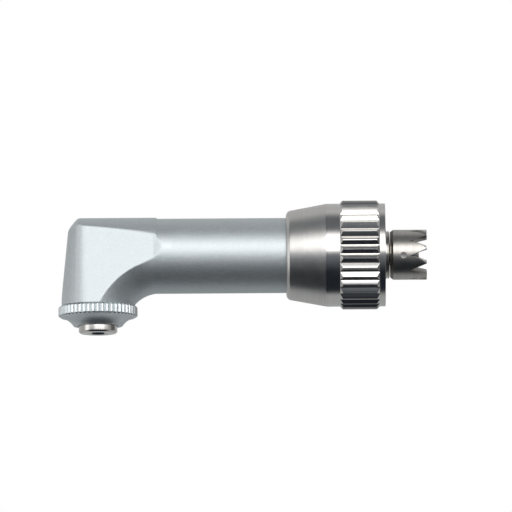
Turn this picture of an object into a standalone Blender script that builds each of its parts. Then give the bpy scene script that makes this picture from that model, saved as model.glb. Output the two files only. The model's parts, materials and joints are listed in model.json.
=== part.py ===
"""Head attachment of a dental contra angle handpiece: right-angle head, neck, coupling nut and drive.

Sizes are millimetres, turned into metres when a mesh is made. Shapes are drawn around the point where
the drive axis (+X, towards the rear) crosses the spindle axis (Z, with the nose pointing down). Every
object stands at that point, so its origin lies on the axis that it turns about. The world origin is
the seat for the handpiece's sheath, on the drive axis at the rear face of the neck collar.
"""
import math

import bmesh
import bpy
from mathutils import Matrix, Vector

METRE = 0.001

# Driving dimensions of the neck and the frame
NECK_END = 24.6
NECK_RADIUS = 3.755
NECK_STEP = 5.92
COLLAR_SEAT_RADIUS = 3.45
COLLAR_FRONT = 23.4
COLLAR_RADIUS = 4.15

# Head casting: crown, front cone, elbow and side flats
CROWN_RADIUS = 3.86
HEAD_BOTTOM = -5.05
FRONT_CONE_CENTRE = 0.6
FRONT_CONE_RADIUS = 3.82
FRONT_CONE_TAPER = 0.102
ELBOW_CENTRE = (6.22, -7.03)
ELBOW_INNER_RADIUS = 3.3
ELBOW_HALF_WIDTH = 3.95
ELBOW_ROUNDNESS = 1.6
FLAT_DISTANCE = 3.12
FLAT_TAPER = 0.092
FLAT_DRAFT = math.radians(7.5)
FLAT_END = 5.6
FLAT_RUN_OUT = 0.2

# Bores in the head and the neck
SHAFT_BORE = 2.51
REAR_BORE = 3.02
REAR_BORE_FRONT = 20.9
FRONT_SHOULDER = 3.2
SHOULDER_BORE = 2.2
CHAMBER_RADIUS = 2.3
CHAMBER_TOP = 2.02
TOP_POCKET_RADIUS = 1.51
TOP_POCKET_END = 3.16
CAP_BORE_RADIUS = 3.1
CAP_BORE_TOP = -3.12

# Head cap and spindle nose
CAP_BODY_RADIUS = 3.8
CAP_RIB_HEIGHT = 0.16
CAP_RIBS = 50
CAP_THREAD_RADIUS = 3.08
CAP_FLANGE_RADIUS = 3.5
CAP_RING_TOP = -5.08
CAP_RING_BOTTOM = -6.14
CAP_RING_CHAMFER = 0.26
CAVETTO_RADIUS = 2.16
CAVETTO_TOP_RADIUS = 3.58
CAP_NOSE_RADIUS = 2.45
CAP_BOTTOM = -7.0
SPINDLE_NOSE_RADIUS = 1.93
SPINDLE_END = -7.74
SPINDLE_THREAD_RADIUS = 0.8
SPINDLE_SHANK_RADIUS = 0.85

# Coupling nut
NUT_FRONT = 18.83
NUT_REAR = 28.75
NUT_BORE = 3.84
NUT_SHOULDER = 23.15
NUT_THREAD_RADIUS = 4.25
NUT_BODY_RADIUS = 5.15
NUT_CREST_RADIUS = 5.45
NUT_RIDGES = 36
RIDGE_PHASE = math.radians(1.0)
O_RING_GROOVE = (20.2, 20.75)

# Bevel gears and crown gear
GEAR_TEETH = 12
GEAR_PITCH_RADIUS = 1.8
GEAR_INNER_SCALE = 2.0 / 3.0
GEAR_ADDENDUM = 0.24
GEAR_DEDENDUM = 0.30
GEAR_BACKLASH = 0.06
PRESSURE_ANGLE = math.radians(20)
CROWN_TEETH = 10
CROWN_OUTER_RADIUS = 2.5
CROWN_INNER_RADIUS = 1.88
CROWN_FRONT = 29.22
CROWN_ROOT = 31.1
CROWN_TIP = 32.9
CROWN_PHASE = math.radians(-7.5)
PIN_POSITION = 30.55
PIN_TURN = math.radians(8.5)

SMALL_SEGMENTS = 16
RING_SEGMENTS = 36
BODY_SEGMENTS = 40
FIT = 0.01

PALETTE = {
    "satin_alloy": ((0.60, 0.63, 0.64), 1.0, 0.38),
    "nickel_plate": ((0.62, 0.60, 0.57), 1.0, 0.24),
    "gear_steel": ((0.50, 0.47, 0.43), 1.0, 0.30),
    "ground_steel": ((0.66, 0.66, 0.65), 1.0, 0.16),
    "cage_plastic": ((0.42, 0.29, 0.16), 0.0, 0.55),
    "black_rubber": ((0.02, 0.02, 0.02), 0.0, 0.70),
}


def clear_scene():
    """Start from an empty file."""
    for obj in list(bpy.data.objects):
        bpy.data.objects.remove(obj, do_unlink=True)


def finish_material(name):
    """Return the shared material of one finish."""
    known = bpy.data.materials.get(name)
    if known:
        return known
    colour, metallic, roughness = PALETTE[name]
    made = bpy.data.materials.new(name)
    made.use_nodes = True
    shader = made.node_tree.nodes["Principled BSDF"]
    shader.inputs["Base Color"].default_value = (*colour, 1.0)
    shader.inputs["Metallic"].default_value = metallic
    shader.inputs["Roughness"].default_value = roughness
    return made


def add_object(name, bm, finish=None, smooth_angle=35.0):
    """Turn a bmesh drawn in millimetres into an object that stands where the two axes cross."""
    bmesh.ops.remove_doubles(bm, verts=bm.verts, dist=1e-4)
    bmesh.ops.recalc_face_normals(bm, faces=bm.faces)
    bmesh.ops.scale(bm, vec=(METRE, METRE, METRE), verts=bm.verts)
    mesh = bpy.data.meshes.new(name)
    bm.to_mesh(mesh)
    bm.free()
    mesh.shade_smooth()
    mesh.set_sharp_from_angle(angle=math.radians(smooth_angle))
    obj = bpy.data.objects.new(name, mesh)
    obj.location = (-NECK_END * METRE, 0.0, 0.0)
    bpy.context.collection.objects.link(obj)
    if finish:
        mesh.materials.append(finish_material(finish))
    return obj


def tool_object(name, bm):
    """A cutter or a joining shape, which is not a part of its own."""
    tool = add_object(name, bm)
    tool.hide_render = True
    tool.display_type = "WIRE"
    return tool


def combine(target, tool, operation="DIFFERENCE"):
    """Cut or join the target with a tool object."""
    step = target.modifiers.new(tool.name, "BOOLEAN")
    step.object = tool
    step.operation = operation
    step.solver = "EXACT"


def turned(profile, segments, axis="X", phase=0.0, crest=None):
    """Revolve an outline of (radius, position) points about an axis.

    An outline that starts and ends on the axis makes a solid shape, any other one closes on itself
    into a ring. Where crest is given, it adds its height to every other vertex of each listed point.
    """
    bm = bmesh.new()
    rings = []
    for index, (radius, position) in enumerate(profile):
        height = crest.get(index, 0.0) if crest else 0.0
        if radius < FIT / 2:
            rings.append([bm.verts.new(on_axis(axis, 0.0, 0.0, position))])
            continue
        ring = []
        for step in range(segments):
            angle = phase + 2 * math.pi * step / segments
            reach = radius + (height if step % 2 == 0 else 0.0)
            ring.append(bm.verts.new(on_axis(axis, reach, angle, position)))
        rings.append(ring)
    closed = profile[0][0] >= FIT / 2
    pairs = list(zip(rings, rings[1:]))
    if closed:
        pairs.append((rings[-1], rings[0]))
    for first, second in pairs:
        join_rings(bm, first, second, segments)
    return bm


def on_axis(axis, radius, angle, position):
    """A point at a radius, an angle and a position along the drive axis or the spindle axis."""
    across, along = radius * math.cos(angle), radius * math.sin(angle)
    if axis == "X":
        return Vector((position, across, along))
    return Vector((across, along, position))


def join_rings(bm, first, second, segments):
    """Faces between two neighbouring rings of a turned shape."""
    for step in range(segments):
        after = (step + 1) % segments
        corners = [first[step % len(first)], first[after % len(first)],
                   second[after % len(second)], second[step % len(second)]]
        distinct = list(dict.fromkeys(corners))
        if len(distinct) > 2:
            bm.faces.new(distinct)


def prism(outline, low, high, place=lambda u, v, w: Vector((u, v, w))):
    """Extrude a closed outline of (u, v) points between two heights, mapped into place."""
    bm = bmesh.new()
    bottom = [bm.verts.new(place(u, v, low)) for u, v in outline]
    top = [bm.verts.new(place(u, v, high)) for u, v in outline]
    join_rings(bm, bottom, top, len(outline))
    bm.faces.new(bottom)
    bm.faces.new(top)
    return bm


def arc(centre, radius, start, end, steps):
    """Points along a circular arc, from one angle to another in degrees."""
    points = []
    for step in range(steps + 1):
        angle = math.radians(start + (end - start) * step / steps)
        points.append((centre[0] + radius * math.cos(angle), centre[1] + radius * math.sin(angle)))
    return points


# Head and neck ------------------------------------------------------------------------------------

def elbow_section(steps):
    """Half section of the elbow's underside as (depth, across): an ellipse drawn in towards its corners."""
    points = []
    for step in range(steps + 1):
        angle = math.pi * (step / steps - 0.5)
        depth = math.cos(angle) ** (2 / ELBOW_ROUNDNESS) * NECK_RADIUS
        across = math.copysign(abs(math.sin(angle)) ** (2 / ELBOW_ROUNDNESS), angle) * ELBOW_HALF_WIDTH
        points.append((depth, across))
    return points


def elbow_sweep():
    """The underside of the elbow: a channel swept about the bend, open towards the outside."""
    bm = bmesh.new()
    bend_x, bend_z = ELBOW_CENTRE
    centre_line = ELBOW_INNER_RADIUS + NECK_RADIUS
    section = [(centre_line - depth, across) for depth, across in elbow_section(18)]
    section = [(15.0, -ELBOW_HALF_WIDTH)] + section + [(15.0, ELBOW_HALF_WIDTH)]
    steps = 12
    rings = []
    for step in range(steps + 1):
        angle = math.radians(90 + 90 * step / steps)
        direction = Vector((math.cos(angle), 0.0, math.sin(angle)))
        ring = []
        for reach, across in section:
            point = Vector((bend_x, across, bend_z)) + direction * reach
            ring.append(bm.verts.new(point))
        rings.append(ring)
    for first, second in zip(rings, rings[1:]):
        join_rings(bm, first, second, len(section))
    bm.faces.new(rings[0])
    bm.faces.new(rings[-1])
    return bm


def crown_prism():
    """The round crown over straight sides, from the head's tip to the step at the neck."""
    outline = arc((0, 0), CROWN_RADIUS, 0, 180, 22)
    outline += [(-CROWN_RADIUS, HEAD_BOTTOM), (CROWN_RADIUS, HEAD_BOTTOM)]
    return prism(outline, -4.6, NECK_STEP, lambda u, v, w: Vector((w, u, v)))


def front_cone():
    """The tapered front wall, with sides that open towards the neck."""
    bm = bmesh.new()
    rings = []
    for height in (HEAD_BOTTOM - 1.0, CROWN_RADIUS + 0.5):
        radius = FRONT_CONE_RADIUS - FRONT_CONE_TAPER * height
        outline = arc((FRONT_CONE_CENTRE, 0), radius, 90, 270, 20)
        outline += [(9.0, -7.0), (9.0, 7.0)]
        rings.append([bm.verts.new(Vector((x, y, height))) for x, y in outline])
    join_rings(bm, rings[0], rings[1], len(rings[0]))
    bm.faces.new(rings[0])
    bm.faces.new(rings[1])
    return bm


def tip_chamfer_cutter():
    """Turns the corner where the crown meets the front wall."""
    curve = [(3.9, -1.88), (3.45, -2.33), (3.0, -2.69), (2.52, -2.96), (1.4, -3.45)]
    outline = curve + [(1.4, -6.0), (6.0, -6.0), (6.0, -1.88)]
    bm = bmesh.new()
    rings = []
    steps = 18
    for step in range(steps + 1):
        angle = math.radians(1.0 + 178.0 * step / steps)
        rings.append([bm.verts.new(on_axis("X", radius, angle, x)) for radius, x in outline])
    for first, second in zip(rings, rings[1:]):
        join_rings(bm, first, second, len(outline))
    bm.faces.new(rings[0])
    bm.faces.new(rings[-1])
    return bm


def flat_cutter(side):
    """Mills one side of the head: tapered towards the tip, drafted, with a run-out at the neck."""
    past_neck = 9.0
    at_end = FLAT_DISTANCE + FLAT_TAPER * FLAT_END
    outline = [(-6.0, FLAT_DISTANCE - FLAT_TAPER * 6.0), (FLAT_END, at_end),
               (past_neck, at_end + FLAT_RUN_OUT * (past_neck - FLAT_END)), (past_neck, 8.0), (-6.0, 8.0)]
    draft = math.tan(FLAT_DRAFT)
    return prism(outline, -7.0, 5.0, lambda u, v, w: Vector((u, side * (v - w * draft), w)))


def neck_blank():
    """The neck from its joint with the head to its rear end, turned down for the collar."""
    root = 5.0
    profile = [(0, root), (3.0, root), (3.0, NECK_STEP - 0.02), (NECK_RADIUS, NECK_STEP - 0.02),
               (NECK_RADIUS, COLLAR_FRONT - 0.02), (COLLAR_SEAT_RADIUS, COLLAR_FRONT - 0.02),
               (COLLAR_SEAT_RADIUS, NECK_END), (0, NECK_END)]
    return turned(profile, BODY_SEGMENTS)


def drive_bore_cutter():
    """Bearing seats and passage along the drive axis."""
    profile = [(0, 0), (SHOULDER_BORE, 0), (SHOULDER_BORE, FRONT_SHOULDER), (SHAFT_BORE, FRONT_SHOULDER),
               (SHAFT_BORE, REAR_BORE_FRONT), (REAR_BORE, REAR_BORE_FRONT),
               (REAR_BORE, NECK_END + 1.0), (0, NECK_END + 1.0)]
    return turned(profile, BODY_SEGMENTS)


def spindle_bore_cutter():
    """Upper bearing pocket, gear chamber and the bore that takes the head cap."""
    profile = [(0, TOP_POCKET_END), (TOP_POCKET_RADIUS, TOP_POCKET_END), (TOP_POCKET_RADIUS, CHAMBER_TOP),
               (CHAMBER_RADIUS, CHAMBER_TOP), (CHAMBER_RADIUS, CAP_BORE_TOP), (CAP_BORE_RADIUS, CAP_BORE_TOP),
               (CAP_BORE_RADIUS, HEAD_BOTTOM - 1.0), (0, HEAD_BOTTOM - 1.0)]
    return turned(profile, BODY_SEGMENTS, axis="Z", phase=math.radians(1.5))


def make_head_housing():
    """Head and neck are one casting."""
    housing = add_object("head_housing", elbow_sweep(), "satin_alloy")
    combine(housing, tool_object("crown_prism", crown_prism()), "INTERSECT")
    combine(housing, tool_object("front_cone", front_cone()), "INTERSECT")
    combine(housing, tool_object("neck_blank", neck_blank()), "UNION")
    combine(housing, tool_object("tip_chamfer", tip_chamfer_cutter()))
    for side in (1, -1):
        name = "flat_left" if side > 0 else "flat_right"
        combine(housing, tool_object(name, flat_cutter(side)))
    combine(housing, tool_object("drive_bore", drive_bore_cutter()))
    combine(housing, tool_object("spindle_bore", spindle_bore_cutter()))


def make_neck_collar():
    """Pressed ring that the coupling nut pulls against, with its index pin."""
    pin_radius = 0.2
    pin_circle = 3.81
    profile = [(COLLAR_SEAT_RADIUS + 0.02, COLLAR_FRONT), (COLLAR_RADIUS, COLLAR_FRONT),
               (COLLAR_RADIUS, NECK_END - 0.1), (COLLAR_RADIUS - 0.1, NECK_END),
               (COLLAR_SEAT_RADIUS + 0.02, NECK_END)]
    collar = add_object("neck_collar", turned(profile, RING_SEGMENTS), "gear_steel")
    hole = turned([(0, NECK_END - 0.7), (pin_radius + FIT, NECK_END - 0.7),
                   (pin_radius + FIT, NECK_END + 1.0), (0, NECK_END + 1.0)], 12)
    bmesh.ops.translate(hole, vec=(0, 0, pin_circle), verts=hole.verts)
    combine(collar, tool_object("index_pin_hole", hole))
    pin = turned([(0, NECK_END - 0.68), (pin_radius, NECK_END - 0.68), (pin_radius, NECK_END + 0.35),
                  (pin_radius - 0.08, NECK_END + 0.45), (0, NECK_END + 0.45)], 12)
    bmesh.ops.translate(pin, vec=(0, 0, pin_circle), verts=pin.verts)
    add_object("collar_index_pin", pin, "ground_steel")


def make_rear_retainer():
    """Plug that holds the rear bearing, with the spigot that leads into the sheath."""
    spigot = 2.415
    spigot_end = 29.16
    seal_seat = 28.3
    profile = [(1.35, 23.0), (REAR_BORE - 0.02, 23.0), (REAR_BORE - 0.02, NECK_END), (spigot, NECK_END),
               (spigot, spigot_end - 0.12), (spigot - 0.16, spigot_end), (1.95, spigot_end),
               (1.95, seal_seat), (1.35, seal_seat)]
    add_object("rear_retainer", turned(profile, RING_SEGMENTS), "ground_steel")
    seal = [(1.13, 28.35), (1.93, 28.35), (1.93, 29.1), (1.45, 29.1), (1.35, 28.7), (1.13, 28.6)]
    add_object("rear_shaft_seal", turned(seal, SMALL_SEGMENTS), "black_rubber")


def make_neck_spacers():
    """Sleeve between the two shaft bearings and the spring washer behind the rear one."""
    sleeve = [(2.12, 4.8), (SHAFT_BORE - 0.03, 4.8), (SHAFT_BORE - 0.03, 20.88), (2.12, 20.88)]
    add_object("bearing_spacer_sleeve", turned(sleeve, SMALL_SEGMENTS), "ground_steel")
    washer = [(2.45, 22.78), (REAR_BORE - 0.06, 22.85), (REAR_BORE - 0.06, 22.97), (2.45, 22.90)]
    add_object("rear_spring_washer", turned(washer, SMALL_SEGMENTS), "ground_steel")


# Head cap -----------------------------------------------------------------------------------------

def cap_cavetto(steps=4):
    """The hollow curve between the cap's rim and its nose ring, an arc bulging into the cap."""
    top = Vector((CAVETTO_TOP_RADIUS, CAP_RING_BOTTOM))
    nose = Vector((CAP_NOSE_RADIUS, CAP_BOTTOM))
    half_chord = (nose - top).length / 2
    outward = Vector((top.y - nose.y, nose.x - top.x)).normalized()
    centre = (top + nose) / 2 + outward * math.sqrt(CAVETTO_RADIUS ** 2 - half_chord ** 2)
    start = math.degrees(math.atan2(*reversed(top - centre)))
    end = math.degrees(math.atan2(*reversed(nose - centre)))
    return arc(centre, CAVETTO_RADIUS, start, end, steps)


def make_head_cap():
    """Cap with a ribbed rim that screws into the head and carries the lower bearing."""
    tube_top = -3.15
    neck_radius = 2.78
    neck_top = -4.8
    seat_radius = 2.61
    tube = [(seat_radius, tube_top), (3.0, tube_top), (CAP_THREAD_RADIUS, tube_top - 0.1),
            (CAP_THREAD_RADIUS, neck_top), (neck_radius, neck_top), (neck_radius, CAP_RING_TOP),
            (CAP_FLANGE_RADIUS, CAP_RING_TOP), (CAP_FLANGE_RADIUS, CAP_RING_BOTTOM + 0.14)]
    bore = [(2.0, CAP_BOTTOM), (2.0, -5.95), (2.3, -5.95), (2.3, neck_top - 0.02),
            (seat_radius, neck_top - 0.02)]
    cap = add_object("head_cap", turned(tube + cap_cavetto() + bore, RING_SEGMENTS, axis="Z"), "satin_alloy")
    rim_top = CAP_RING_TOP - 0.02
    rim_bottom = CAP_RING_BOTTOM + 0.02
    rim = [(3.3, rim_top), (3.6, rim_top), (CAP_BODY_RADIUS, rim_top - CAP_RING_CHAMFER),
           (CAP_BODY_RADIUS, rim_bottom + 0.7 * CAP_RING_CHAMFER), (3.6, rim_bottom), (3.3, rim_bottom)]
    ribs = turned(rim, 2 * CAP_RIBS, axis="Z", crest={2: CAP_RIB_HEIGHT, 3: CAP_RIB_HEIGHT})
    combine(cap, tool_object("cap_rim", ribs), "UNION")


def make_cap_seals():
    """O-ring above the cap's flange and the lip seal on the spindle."""
    add_object("cap_o_ring", turned(arc((2.93, -4.955), 0.135, 0, 300, 5), RING_SEGMENTS, axis="Z"),
               "black_rubber")
    lip = [(1.55, -5.15), (2.27, -5.15), (2.27, -5.92), (1.9, -5.92), (1.7, -5.5), (1.55, -5.4)]
    add_object("spindle_seal", turned(lip, SMALL_SEGMENTS, axis="Z"), "black_rubber")


# Ball bearings ------------------------------------------------------------------------------------

def clear_of(radius):
    """The radius of a faceted bore whose flats still clear a shaft of the given radius."""
    return (radius + FIT) / math.cos(math.pi / SMALL_SEGMENTS)


def make_bearing(name, axis, centre, width, bore, outer, ball, count):
    """A ball bearing: two grooved rings, a cage and its balls, each one a piece of its own."""
    pitch = (bore + outer) / 2
    land = 0.42 * ball
    gap = 0.03
    half = width / 2
    groove = [(0.95 * ball + gap, land), (0.5 * ball, ball + gap)]
    for kind, sign, edge in (("outer_ring", 1, outer), ("inner_ring", -1, clear_of(bore))):
        profile = [(edge, centre - half), (edge, centre + half), (pitch + sign * land, centre + half)]
        profile += [(pitch + sign * depth, centre + along) for along, depth in groove]
        profile += [(pitch + sign * depth, centre - along) for along, depth in reversed(groove)]
        profile += [(pitch + sign * land, centre - half)]
        add_object(f"{name}_bearing_{kind}", turned(profile, SMALL_SEGMENTS, axis), "ground_steel")
    make_cage(name, axis, centre, pitch, land, ball, count)
    for index in range(count):
        angle = 2 * math.pi * index / count
        sphere = bmesh.new()
        bmesh.ops.create_uvsphere(sphere, u_segments=8, v_segments=5, radius=ball)
        bmesh.ops.translate(sphere, vec=on_axis(axis, pitch, angle, centre), verts=sphere.verts)
        add_object(f"{name}_bearing_ball_{index + 1}", sphere, "ground_steel", smooth_angle=60.0)


def make_cage(name, axis, centre, pitch, land, ball, count):
    """The band that keeps a bearing's balls apart."""
    half_width = 1.2 * ball + 0.08
    wall = land - 0.04
    profile = [(pitch - wall, centre - half_width), (pitch + wall, centre - half_width),
               (pitch + wall, centre + half_width), (pitch - wall, centre + half_width)]
    cage = add_object(f"{name}_bearing_cage", turned(profile, SMALL_SEGMENTS, axis), "cage_plastic")
    pockets = bmesh.new()
    pocket_radius = (ball + 0.03) / math.cos(math.pi / 6)
    for index in range(count):
        angle = 2 * math.pi * index / count
        outward = on_axis(axis, 1.0, angle, 0.0)
        turn = Vector((0, 0, 1)).rotation_difference(outward).to_matrix().to_4x4()
        place = Matrix.Translation(on_axis(axis, pitch, angle, centre)) @ turn
        bmesh.ops.create_cone(pockets, cap_ends=True, segments=6, radius1=pocket_radius,
                              radius2=pocket_radius, depth=4 * wall, matrix=place)
    combine(cage, tool_object(f"{name}_cage_pockets", pockets))


def make_bearings():
    """Two bearings on the spindle and two on the drive shaft."""
    make_bearing("upper", "Z", 2.55, 1.0, 0.5, 1.5, 0.22, 6)
    make_bearing("lower", "Z", -4.02, 1.56, 1.4, 2.6, 0.35, 7)
    make_bearing("front", "X", 4.0, 1.5, 1.0, 2.5, 0.40, 7)
    make_bearing("rear", "X", 21.85, 1.8, 1.25, 3.0, 0.50, 7)
    washer = [(1.15, 3.07), (1.48, 3.07), (1.48, 3.14), (1.15, 3.14)]
    add_object("upper_preload_washer", turned(washer, SMALL_SEGMENTS, axis="Z"), "ground_steel")


# Gears --------------------------------------------------------------------------------------------

def tooth_half_width(height):
    """Half the thickness of an involute tooth at a height above the pitch line."""
    equivalent = GEAR_PITCH_RADIUS * math.sqrt(2)
    base = equivalent * math.cos(PRESSURE_ANGLE)
    radius = max(equivalent + height, base)
    angle = math.acos(min(1.0, base / radius))
    at_pitch = math.pi * GEAR_PITCH_RADIUS / GEAR_TEETH - GEAR_BACKLASH / 2
    spread = at_pitch / (2 * equivalent) + involute(PRESSURE_ANGLE) - involute(angle)
    return radius * spread


def involute(angle):
    """The involute function."""
    return math.tan(angle) - angle


def tooth_loop(phase):
    """One turn of tooth outline as (angle, height) pairs on the large end of a bevel gear."""
    heights = (-GEAR_DEDENDUM, -0.1, GEAR_ADDENDUM)
    loop = []
    for tooth in range(GEAR_TEETH):
        middle = phase + 2 * math.pi * tooth / GEAR_TEETH
        for height in heights:
            loop.append((middle - flank_angle(height), height))
        for height in reversed(heights):
            loop.append((middle + flank_angle(height), height))
    return loop


def flank_angle(height):
    """The angle, about the gear's own axis, from a tooth's middle to its flank."""
    return tooth_half_width(height) / (GEAR_PITCH_RADIUS + height / math.sqrt(2))


def bevel_gear(phase, hub):
    """A straight bevel gear with its apex at the origin and its back towards +Z."""
    bm = bmesh.new()
    slope = 1 / math.sqrt(2)
    ends = []
    for scale in (1.0, GEAR_INNER_SCALE):
        ring = []
        for angle, height in tooth_loop(phase):
            radius = (GEAR_PITCH_RADIUS + height * slope) * scale
            back = (GEAR_PITCH_RADIUS - height * slope) * scale
            ring.append(bm.verts.new(on_axis("Z", radius, angle, back)))
        ends.append(ring)
    join_rings(bm, ends[0], ends[1], len(ends[0]))
    rings = []
    for radius, position in hub:
        angles = [2 * math.pi * step / SMALL_SEGMENTS for step in range(SMALL_SEGMENTS)]
        rings.append([bm.verts.new(on_axis("Z", radius, angle, position)) for angle in angles])
    for first, second in zip(rings, rings[1:]):
        join_rings(bm, first, second, SMALL_SEGMENTS)
    bridge(bm, ends[0], rings[0])
    bridge(bm, ends[1], rings[-1])
    return bm


def bridge(bm, first, second):
    """Join two rings that have different numbers of vertices."""
    edges = []
    for ring in (first, second):
        for index, vertex in enumerate(ring):
            after = ring[(index + 1) % len(ring)]
            edge = bm.edges.get((vertex, after)) or bm.edges.new((vertex, after))
            edges.append(edge)
    bmesh.ops.bridge_loops(bm, edges=edges)


def make_bevel_gears():
    """The pinion on the drive shaft and the gear below it on the spindle."""
    pinion_hub = [(1.3, 2.3), (1.3, 3.2), (0.62, 3.2), (0.62, 1.52)]
    pinion = bevel_gear(0.0, pinion_hub)
    bmesh.ops.rotate(pinion, cent=(0, 0, 0), matrix=Matrix.Rotation(math.pi / 2, 3, "Y"), verts=pinion.verts)
    add_object("shaft_pinion", pinion, "gear_steel", smooth_angle=25.0)
    bore = clear_of(SPINDLE_SHANK_RADIUS)
    gear_hub = [(1.3, 2.3), (1.3, 2.7), (1.7, 2.85), (1.7, 3.17), (bore, 3.17), (bore, 1.38)]
    gear = bevel_gear(math.pi / GEAR_TEETH, gear_hub)
    bmesh.ops.rotate(gear, cent=(0, 0, 0), matrix=Matrix.Rotation(math.pi, 3, "X"), verts=gear.verts)
    add_object("spindle_gear", gear, "gear_steel", smooth_angle=25.0)


def crown_edge(turn):
    """How far back the crown gear's toothed edge reaches, over one tooth pitch from tip to tip."""
    share = abs(2.0 * turn - 1.0)
    if turn > 0.5:
        share = math.sqrt(share)
    return CROWN_ROOT + (CROWN_TIP - CROWN_ROOT) * share


def make_crown_gear():
    """Crown gear with pointed teeth at the rear of the shaft, pinned through its hub."""
    bm = bmesh.new()
    per_tooth = 4
    segments = CROWN_TEETH * per_tooth
    hub_bore = 0.96
    cup_floor = 30.95
    profile = [(hub_bore, CROWN_FRONT), (2.27, CROWN_FRONT), (CROWN_OUTER_RADIUS, CROWN_FRONT + 0.3),
               (CROWN_OUTER_RADIUS, None), (CROWN_INNER_RADIUS, None), (CROWN_INNER_RADIUS, cup_floor),
               (hub_bore, cup_floor)]
    rings = []
    for radius, position in profile:
        ring = []
        for step in range(segments):
            angle = CROWN_PHASE + 2 * math.pi * step / segments
            edge = crown_edge(step % per_tooth / per_tooth)
            ring.append(bm.verts.new(on_axis("X", radius, angle, edge if position is None else position)))
        rings.append(ring)
    for first, second in zip(rings, rings[1:] + rings[:1]):
        join_rings(bm, first, second, segments)
    crown = add_object("crown_clutch_gear", bm, "gear_steel", smooth_angle=25.0)
    combine(crown, tool_object("crown_pin_hole", cross_pin(0.26, 6.0)))


def cross_pin(radius, length):
    """A pin across the drive axis."""
    bm = bmesh.new()
    place = Matrix.Translation((PIN_POSITION, 0, 0)) @ Matrix.Rotation(math.pi / 2 + PIN_TURN, 4, "X")
    bmesh.ops.create_cone(bm, cap_ends=True, segments=12, radius1=radius, radius2=radius, depth=length,
                          matrix=place)
    return bm


# Drive shaft and spindle --------------------------------------------------------------------------

def make_drive_shaft():
    """The shaft from the pinion to the crown gear, and the pin that holds the crown gear."""
    shoulder = CROWN_FRONT - 0.03
    profile = [(0, 1.5), (0.6, 1.5), (0.6, 3.22), (1.0, 3.22), (1.0, 4.8), (1.45, 4.8), (1.45, 20.93),
               (1.25, 20.93), (1.25, 22.85), (1.1, 22.85), (1.1, shoulder), (0.95, shoulder), (0.95, 31.95),
               (0.8, 32.1), (0, 32.1)]
    shaft = add_object("drive_shaft", turned(profile, SMALL_SEGMENTS), "ground_steel")
    combine(shaft, tool_object("shaft_pin_hole", cross_pin(0.26, 4.0)))
    add_object("crown_gear_pin", cross_pin(0.25, 4.9), "ground_steel")


def make_spindle():
    """The spindle, with its tapped nose for cups and brushes."""
    profile = [(0, 3.12), (0.45, 3.12), (0.5, 3.07), (0.5, 2.03), (SPINDLE_SHANK_RADIUS, 2.03),
               (SPINDLE_SHANK_RADIUS, -3.2), (1.4, -3.2), (1.4, -4.83), (1.62, -4.83), (1.62, -5.03),
               (1.5, -5.03), (1.5, -6.1), (SPINDLE_NOSE_RADIUS, -6.1), (SPINDLE_NOSE_RADIUS, -7.58),
               (1.76, SPINDLE_END), (0.95, SPINDLE_END), (SPINDLE_THREAD_RADIUS, -7.5),
               (SPINDLE_THREAD_RADIUS, -3.95), (0, -3.55)]
    add_object("spindle", turned(profile, RING_SEGMENTS - 8, axis="Z"), "nickel_plate")


# Coupling nut -------------------------------------------------------------------------------------

def make_coupling_nut():
    """Captive nut with a ridged grip, and the O-ring that drags on the neck."""
    crest = NUT_CREST_RADIUS - NUT_BODY_RADIUS
    groove_front, groove_rear = O_RING_GROOVE
    profile = [(NUT_BORE, NUT_FRONT), (4.0, NUT_FRONT), (4.28, NUT_FRONT + 0.11), (4.46, NUT_FRONT + 0.35),
               (NUT_BODY_RADIUS, 22.9), (NUT_BODY_RADIUS, 24.2), (NUT_BODY_RADIUS, 24.47),
               (NUT_BODY_RADIUS, 27.87), (NUT_BODY_RADIUS, 28.17), (NUT_BODY_RADIUS, NUT_REAR - 0.05),
               (NUT_BODY_RADIUS - 0.05, NUT_REAR), (NUT_THREAD_RADIUS + 0.15, NUT_REAR),
               (NUT_THREAD_RADIUS, NUT_REAR - 0.15), (NUT_THREAD_RADIUS, NUT_SHOULDER),
               (NUT_BORE, NUT_SHOULDER), (NUT_BORE, groove_rear), (4.22, groove_rear),
               (4.22, groove_front), (NUT_BORE, groove_front)]
    ridged = turned(profile, 2 * NUT_RIDGES, phase=RIDGE_PHASE, crest={6: crest, 7: crest})
    add_object("coupling_nut", ridged, "nickel_plate", smooth_angle=25.0)
    middle = (groove_front + groove_rear) / 2
    add_object("nut_o_ring", turned(arc((3.985, middle), 0.21, 0, 300, 5), RING_SEGMENTS), "black_rubber")


def main():
    """Build every part of the attachment."""
    clear_scene()
    make_head_housing()
    make_neck_collar()
    make_rear_retainer()
    make_neck_spacers()
    make_head_cap()
    make_cap_seals()
    make_bearings()
    make_bevel_gears()
    make_crown_gear()
    make_drive_shaft()
    make_spindle()
    make_coupling_nut()


main()
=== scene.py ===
"""Looks of a dental contra angle head: fine meshes, metal finishes, studio light and camera.

Sizes are millimetres, measured from the point where the drive axis (+X, towards the rear) crosses the
spindle axis (Z, with the nose pointing down), as in the CAD source. Every new piece stands at that
point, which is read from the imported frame. Angles are in radians unless a name says otherwise.
"""

import json
import math

import bmesh
import bpy
import numpy as np
from mathutils import Matrix, Vector


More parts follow.
